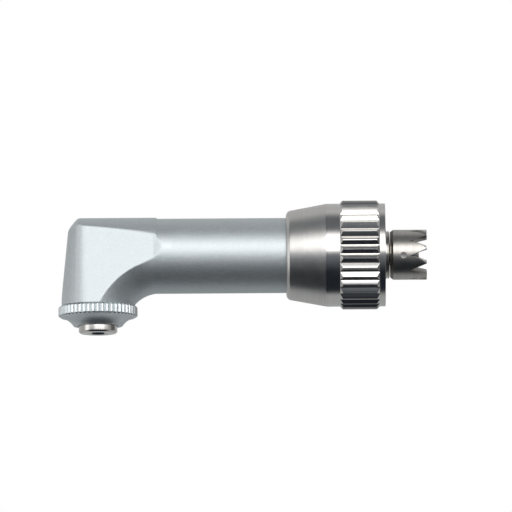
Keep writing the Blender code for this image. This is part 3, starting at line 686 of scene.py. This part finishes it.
def make_coupling_nut():
    """The captive nut with its ridged grip."""
    front = rounded([(NUT_BORE, NUT_FRONT + 0.3), (NUT_BORE, NUT_FRONT, 0.05), (4.0, NUT_FRONT, 0.03),
                     (4.28, NUT_FRONT + 0.11, 0.1), (4.46, NUT_FRONT + 0.35, 0.2),
                     (NUT_BODY_RADIUS, CONE_END, 1.2), (NUT_BODY_RADIUS, RIDGE_FRONT)])[1:]
    grip = sampled((NUT_BODY_RADIUS, RIDGE_FRONT + 0.01), (NUT_BODY_RADIUS, RIDGE_FRONT + 0.3), 0.03)
    grip += sampled((NUT_BODY_RADIUS, RIDGE_REAR - 0.3), (NUT_BODY_RADIUS, RIDGE_REAR - 0.01), 0.03)
    rear = rounded([(NUT_BODY_RADIUS, RIDGE_REAR), (NUT_BODY_RADIUS, NUT_REAR, 0.06),
                    (NUT_THREAD_RADIUS + 0.25, NUT_REAR, 0.04), (NUT_THREAD_RADIUS + 0.02, NUT_REAR - 0.22)])
    thread = sampled((NUT_THREAD_RADIUS, NUT_REAR - 0.26), (NUT_THREAD_RADIUS, NUT_SHOULDER + 0.5), 0.0625)
    inside = [(4.5, NUT_SHOULDER + 0.45), (4.5, NUT_SHOULDER), (NUT_BORE, NUT_SHOULDER), (NUT_BORE, 20.75),
              (4.22, 20.75), (4.22, 20.2), (NUT_BORE, 20.2)]
    outline = front + grip + rear + thread + inside
    shape = spun(outline, 14 * NUT_RIDGES, relief=nut_relief)
    piece("ridged_nut", shape, "nut", "nickel_plated_nut", ["coupling_nut"], sharp_angle=25.0)


# Neck collar, retainer, shaft and crown gear ------------------------------------------------------

def make_rear_parts():
    """Collar, bearing retainer and drive shaft."""
    collar = [(3.47, COLLAR_FRONT, 0.03), (4.15, COLLAR_FRONT, 0.05), (4.15, NECK_END, 0.12),
              (3.47, NECK_END, 0.03)]
    piece("collar_ring", spun(rounded(collar), 160), "head_and_neck", "gear_steel", ["neck_collar"])
    groove = 28.93
    spigot = [(1.35, 23.0, 0.05), (3.0, 23.0, 0.08), (3.0, NECK_END), (2.415, NECK_END, 0.05),
              (2.415, groove - 0.06, 0.01), (2.3, groove - 0.04, 0.01), (2.3, groove + 0.04, 0.01),
              (2.415, groove + 0.06, 0.01), (2.415, SPIGOT_END - 0.12, 0.03), (2.25, SPIGOT_END, 0.03),
              (1.95, SPIGOT_END, 0.04), (1.95, 28.3), (1.35, 28.3, 0.04)]
    piece("bearing_plug", spun(rounded(spigot), 160), "head_and_neck", "ground_steel", ["rear_retainer"])
    shoulder = CROWN_FRONT - 0.03
    shaft = [(0.0, 1.5), (0.6, 1.5, 0.05), (0.6, 3.22), (1.0, 3.22, 0.05), (1.0, 4.8), (1.45, 4.8, 0.05),
             (1.45, 20.93, 0.05), (1.25, 20.93), (1.25, 22.85, 0.05), (1.1, 22.85), (1.1, shoulder, 0.03),
             (0.95, shoulder), (0.95, 32.1, 0.15), (0.0, 32.1)]
    piece("turned_shaft", spun(rounded(shaft), 96, closed=False), "drive_shaft_group", "ground_steel",
          ["drive_shaft"])


def crown_edge(angles):
    """How far back the crown gear's toothed edge reaches: straight flanks one way, bowed the other."""
    turn = ((angles - CROWN_PHASE) * CROWN_TEETH / (2 * math.pi)) % 1.0
    share = np.abs(2 * turn - 1.0)
    share = np.where(turn > 0.5, np.sqrt(share), share)
    return CROWN_ROOT + (CROWN_TIP - CROWN_ROOT) * share


def crown_relief(radii, levels, angles):
    """Cuts the teeth into the rings of the toothed edge, and a dimple over each end of the pin."""
    share = np.clip((levels - CUP_FLOOR) / (CROWN_TIP - CUP_FLOOR), 0.0, 1.0)
    raised = np.where(levels > CUP_FLOOR, CUP_FLOOR + (crown_edge(angles) - CUP_FLOOR) * share, levels)
    across = np.abs((angles - PIN_TURN) % math.pi - math.pi / 2) - math.pi / 2
    reach = np.hypot(across * radii, levels - PIN_POSITION)
    outside = radii > CROWN_OUTER_RADIUS - 0.01
    dimple = np.where(outside, 0.03 * (1.0 - smooth_step(reach, PIN_RADIUS - 0.12, PIN_RADIUS + 0.10)), 0.0)
    wear = np.where(levels > CROWN_TIP - 0.01, 0.6, 0.0)
    return radii - dimple, raised, wear


def make_crown_gear():
    """Crown gear with pointed teeth and dimples over the pin that holds it to the shaft."""
    outer, inner = CROWN_OUTER_RADIUS, CROWN_INNER_RADIUS
    outline = rounded([(0.97, CROWN_FRONT), (2.27, CROWN_FRONT, 0.02), (outer, CROWN_FRONT + 0.3, 0.04),
                       (outer, 30.0)])
    outline += sampled((outer, 30.1), (outer, CROWN_TIP - 0.05), 0.06)
    outline += [(outer - 0.05, CROWN_TIP), (inner + 0.04, CROWN_TIP)]
    outline += sampled((inner, CROWN_TIP - 0.04), (inner, CUP_FLOOR + 0.05), 0.2)
    outline += [(inner, CUP_FLOOR), (0.97, CUP_FLOOR)]
    shape = spun(outline, 28 * CROWN_TEETH, relief=crown_relief)
    piece("crown_dog", shape, "drive_shaft_group", "gear_steel", ["crown_clutch_gear"], sharp_angle=30.0)


# CAD nodes that stay ------------------------------------------------------------------------------

def dress_cad_nodes():
    """Give each CAD node that still shows the procedural finish of its record slot."""
    slots = {row["node"]: row["material_slot"] for row in frame["record"]["subparts"]}
    for name, obj in frame["nodes"].items():
        obj.data.materials.clear()
        obj.data.materials.append(MATERIALS[slots[name]])


# Studio -------------------------------------------------------------------------------------------

# Lamps and walls round the drive axis. Each one reaches between two elevations, in degrees up from the
# camera's side, fades over a soft edge at either end, and has a radiance and a tint.
SOFTBOX = (3, 5, 40, 12, 3.0, (1.0, 1.0, 1.0))
WALLS = [
    (-26, 22, 14, 24, 0.16, (0.88, 0.96, 1.08)),
    (42, 10, 110, 10, 0.14, (0.95, 1.0, 1.05)),
    (97, 14, 400, 1, 0.54, (1.0, 1.0, 1.0)),
    (-400, 1, -103, 9, 0.44, (0.97, 1.0, 1.0)),
]
ROOM_GLOW = (0.016, 0.020, 0.027)
# How the softbox dims towards its ends along X: from, to, and its share of full brightness at each.
SOFTBOX_ENDS = [(-0.55, -0.15, 0.3, 1.0), (0.45, 0.75, 1.0, 0.35)]
# The walls past the object's ends: where along X they fade in, and their radiance. The window in them lies
# on the camera's side, and REAR_SIDE_SHARE is what is left of all that light behind the object.
SIDE_WALL = (0.72, 0.95, 0.45)
SIDE_WINDOW = (-0.05, 0.35, 1.1)
REAR_SIDE_SHARE = 0.3


def lamp_light(tree, angle, lamp):
    """The colour that one lamp or wall adds at an elevation, and its share of full brightness."""
    low, low_edge, high, high_edge, radiance, tint = lamp
    rise = scaled_range(tree, angle, math.radians(low - low_edge), math.radians(low + low_edge), 0.0, 1.0,
                        "SMOOTHSTEP")
    fall = scaled_range(tree, angle, math.radians(high - high_edge), math.radians(high + high_edge), 1.0, 0.0,
                        "SMOOTHSTEP")
    return maths(tree, "MULTIPLY", rise, fall), [radiance * part for part in tint]


def make_world():
    """Studio surround: white where the camera looks past the object, lamps and walls in reflections."""
    world = bpy.data.worlds.new("studio")
    bpy.context.scene.world = world
    world.use_nodes = True
    tree = world.node_tree
    direction = node(tree, "ShaderNodeTexCoord").outputs["Generated"]
    split = node(tree, "ShaderNodeSeparateXYZ", {0: direction})
    forward = maths(tree, "MULTIPLY", split.outputs["Y"], -1.0)
    angle = maths(tree, "ARCTAN2", split.outputs["Z"], forward)
    sideways = maths(tree, "ABSOLUTE", split.outputs["X"])
    total = ROOM_GLOW
    for lamp in [SOFTBOX] + WALLS:
        share, colour = lamp_light(tree, angle, lamp)
        if lamp is SOFTBOX:
            for low, high, at_low, at_high in SOFTBOX_ENDS:
                dimming = scaled_range(tree, split.outputs["X"], low, high, at_low, at_high, "SMOOTHSTEP")
                share = maths(tree, "MULTIPLY", share, dimming)
        light = node(tree, "ShaderNodeVectorMath", {0: colour, "Scale": share}, operation="SCALE").outputs[0]
        total = node(tree, "ShaderNodeVectorMath", {0: total, 1: light}, operation="ADD").outputs[0]
    start, end, radiance = SIDE_WALL
    side = scaled_range(tree, sideways, start, end, 0.0, 1.0, "SMOOTHSTEP")
    near, far, extra = SIDE_WINDOW
    window = scaled_range(tree, forward, near, far, radiance, radiance + extra, "SMOOTHSTEP")
    towards_rear = scaled_range(tree, split.outputs["X"], -0.3, 0.3, 1.0, REAR_SIDE_SHARE)
    window = maths(tree, "MULTIPLY", window, towards_rear)
    tone = blended(tree, side, total, window)
    seen = node(tree, "ShaderNodeLightPath").outputs["Is Camera Ray"]
    tone = blended(tree, seen, tone, (1.0, 1.0, 1.0))
    tree.links.new(tone, tree.nodes["Background"].inputs["Color"])


def make_floor():
    """A plain pale floor, well below the object."""
    bpy.ops.mesh.primitive_circle_add(vertices=96, radius=4.0, fill_type="NGON", location=(0, 0, -0.3))
    floor = bpy.context.object
    floor.name = "studio_floor"
    material, tree, shader, place = new_material("studio_floor")
    patch = node(tree, "ShaderNodeTexNoise", {"Vector": place, "Scale": 3.0, "Detail": 2.0}).outputs["Fac"]
    tone = blended(tree, patch, (0.86, 0.86, 0.86), (0.90, 0.90, 0.90))
    tree.links.new(tone, shader.inputs["Base Color"])
    shader.inputs["Roughness"].default_value = 0.9
    shader.inputs["Emission Color"].default_value = (1.0, 1.0, 1.0, 1.0)
    shader.inputs["Emission Strength"].default_value = 0.3
    under = node(tree, "ShaderNodeNewGeometry").outputs["Backfacing"]
    clear = node(tree, "ShaderNodeBsdfTransparent").outputs[0]
    mixed = node(tree, "ShaderNodeMixShader", {0: under, 1: shader.outputs[0], 2: clear}).outputs[0]
    tree.links.new(mixed, tree.nodes["Material Output"].inputs["Surface"])
    floor.data.materials.append(material)
    floor.visible_glossy = False
    floor.visible_diffuse = False
    floor.visible_shadow = False


CAMERA_TARGET = Vector((-8.78, 0.0, -0.03))
CAMERA_DISTANCE = 1200.0
CAMERA_ELEVATION = math.radians(-7.5)
CAMERA_ROLL = math.radians(-0.36)
VIEW_WIDTH = 51.2


def make_camera():
    """Camera in front of the object's right side, a little below it."""
    data = bpy.data.cameras.new("camera")
    data.sensor_width = 36.0
    data.lens = data.sensor_width * CAMERA_DISTANCE / VIEW_WIDTH
    data.clip_start = 0.001
    camera = bpy.data.objects.new("camera", data)
    bpy.context.scene.collection.objects.link(camera)
    back = Vector((0.0, -math.cos(CAMERA_ELEVATION), math.sin(CAMERA_ELEVATION)))
    turn = back.to_track_quat("Z", "Y").to_matrix().to_4x4() @ Matrix.Rotation(CAMERA_ROLL, 4, "Z")
    camera.matrix_world = Matrix.Translation((CAMERA_TARGET + back * CAMERA_DISTANCE) * MM) @ turn
    bpy.context.scene.camera = camera
    bpy.context.scene.view_settings.view_transform = "Standard"


dress_cad_nodes()
make_head_shell()
make_cap_shell()
make_seals()
make_spindle()
make_coupling_nut()
make_rear_parts()
make_crown_gear()
make_world()
make_floor()
make_camera()
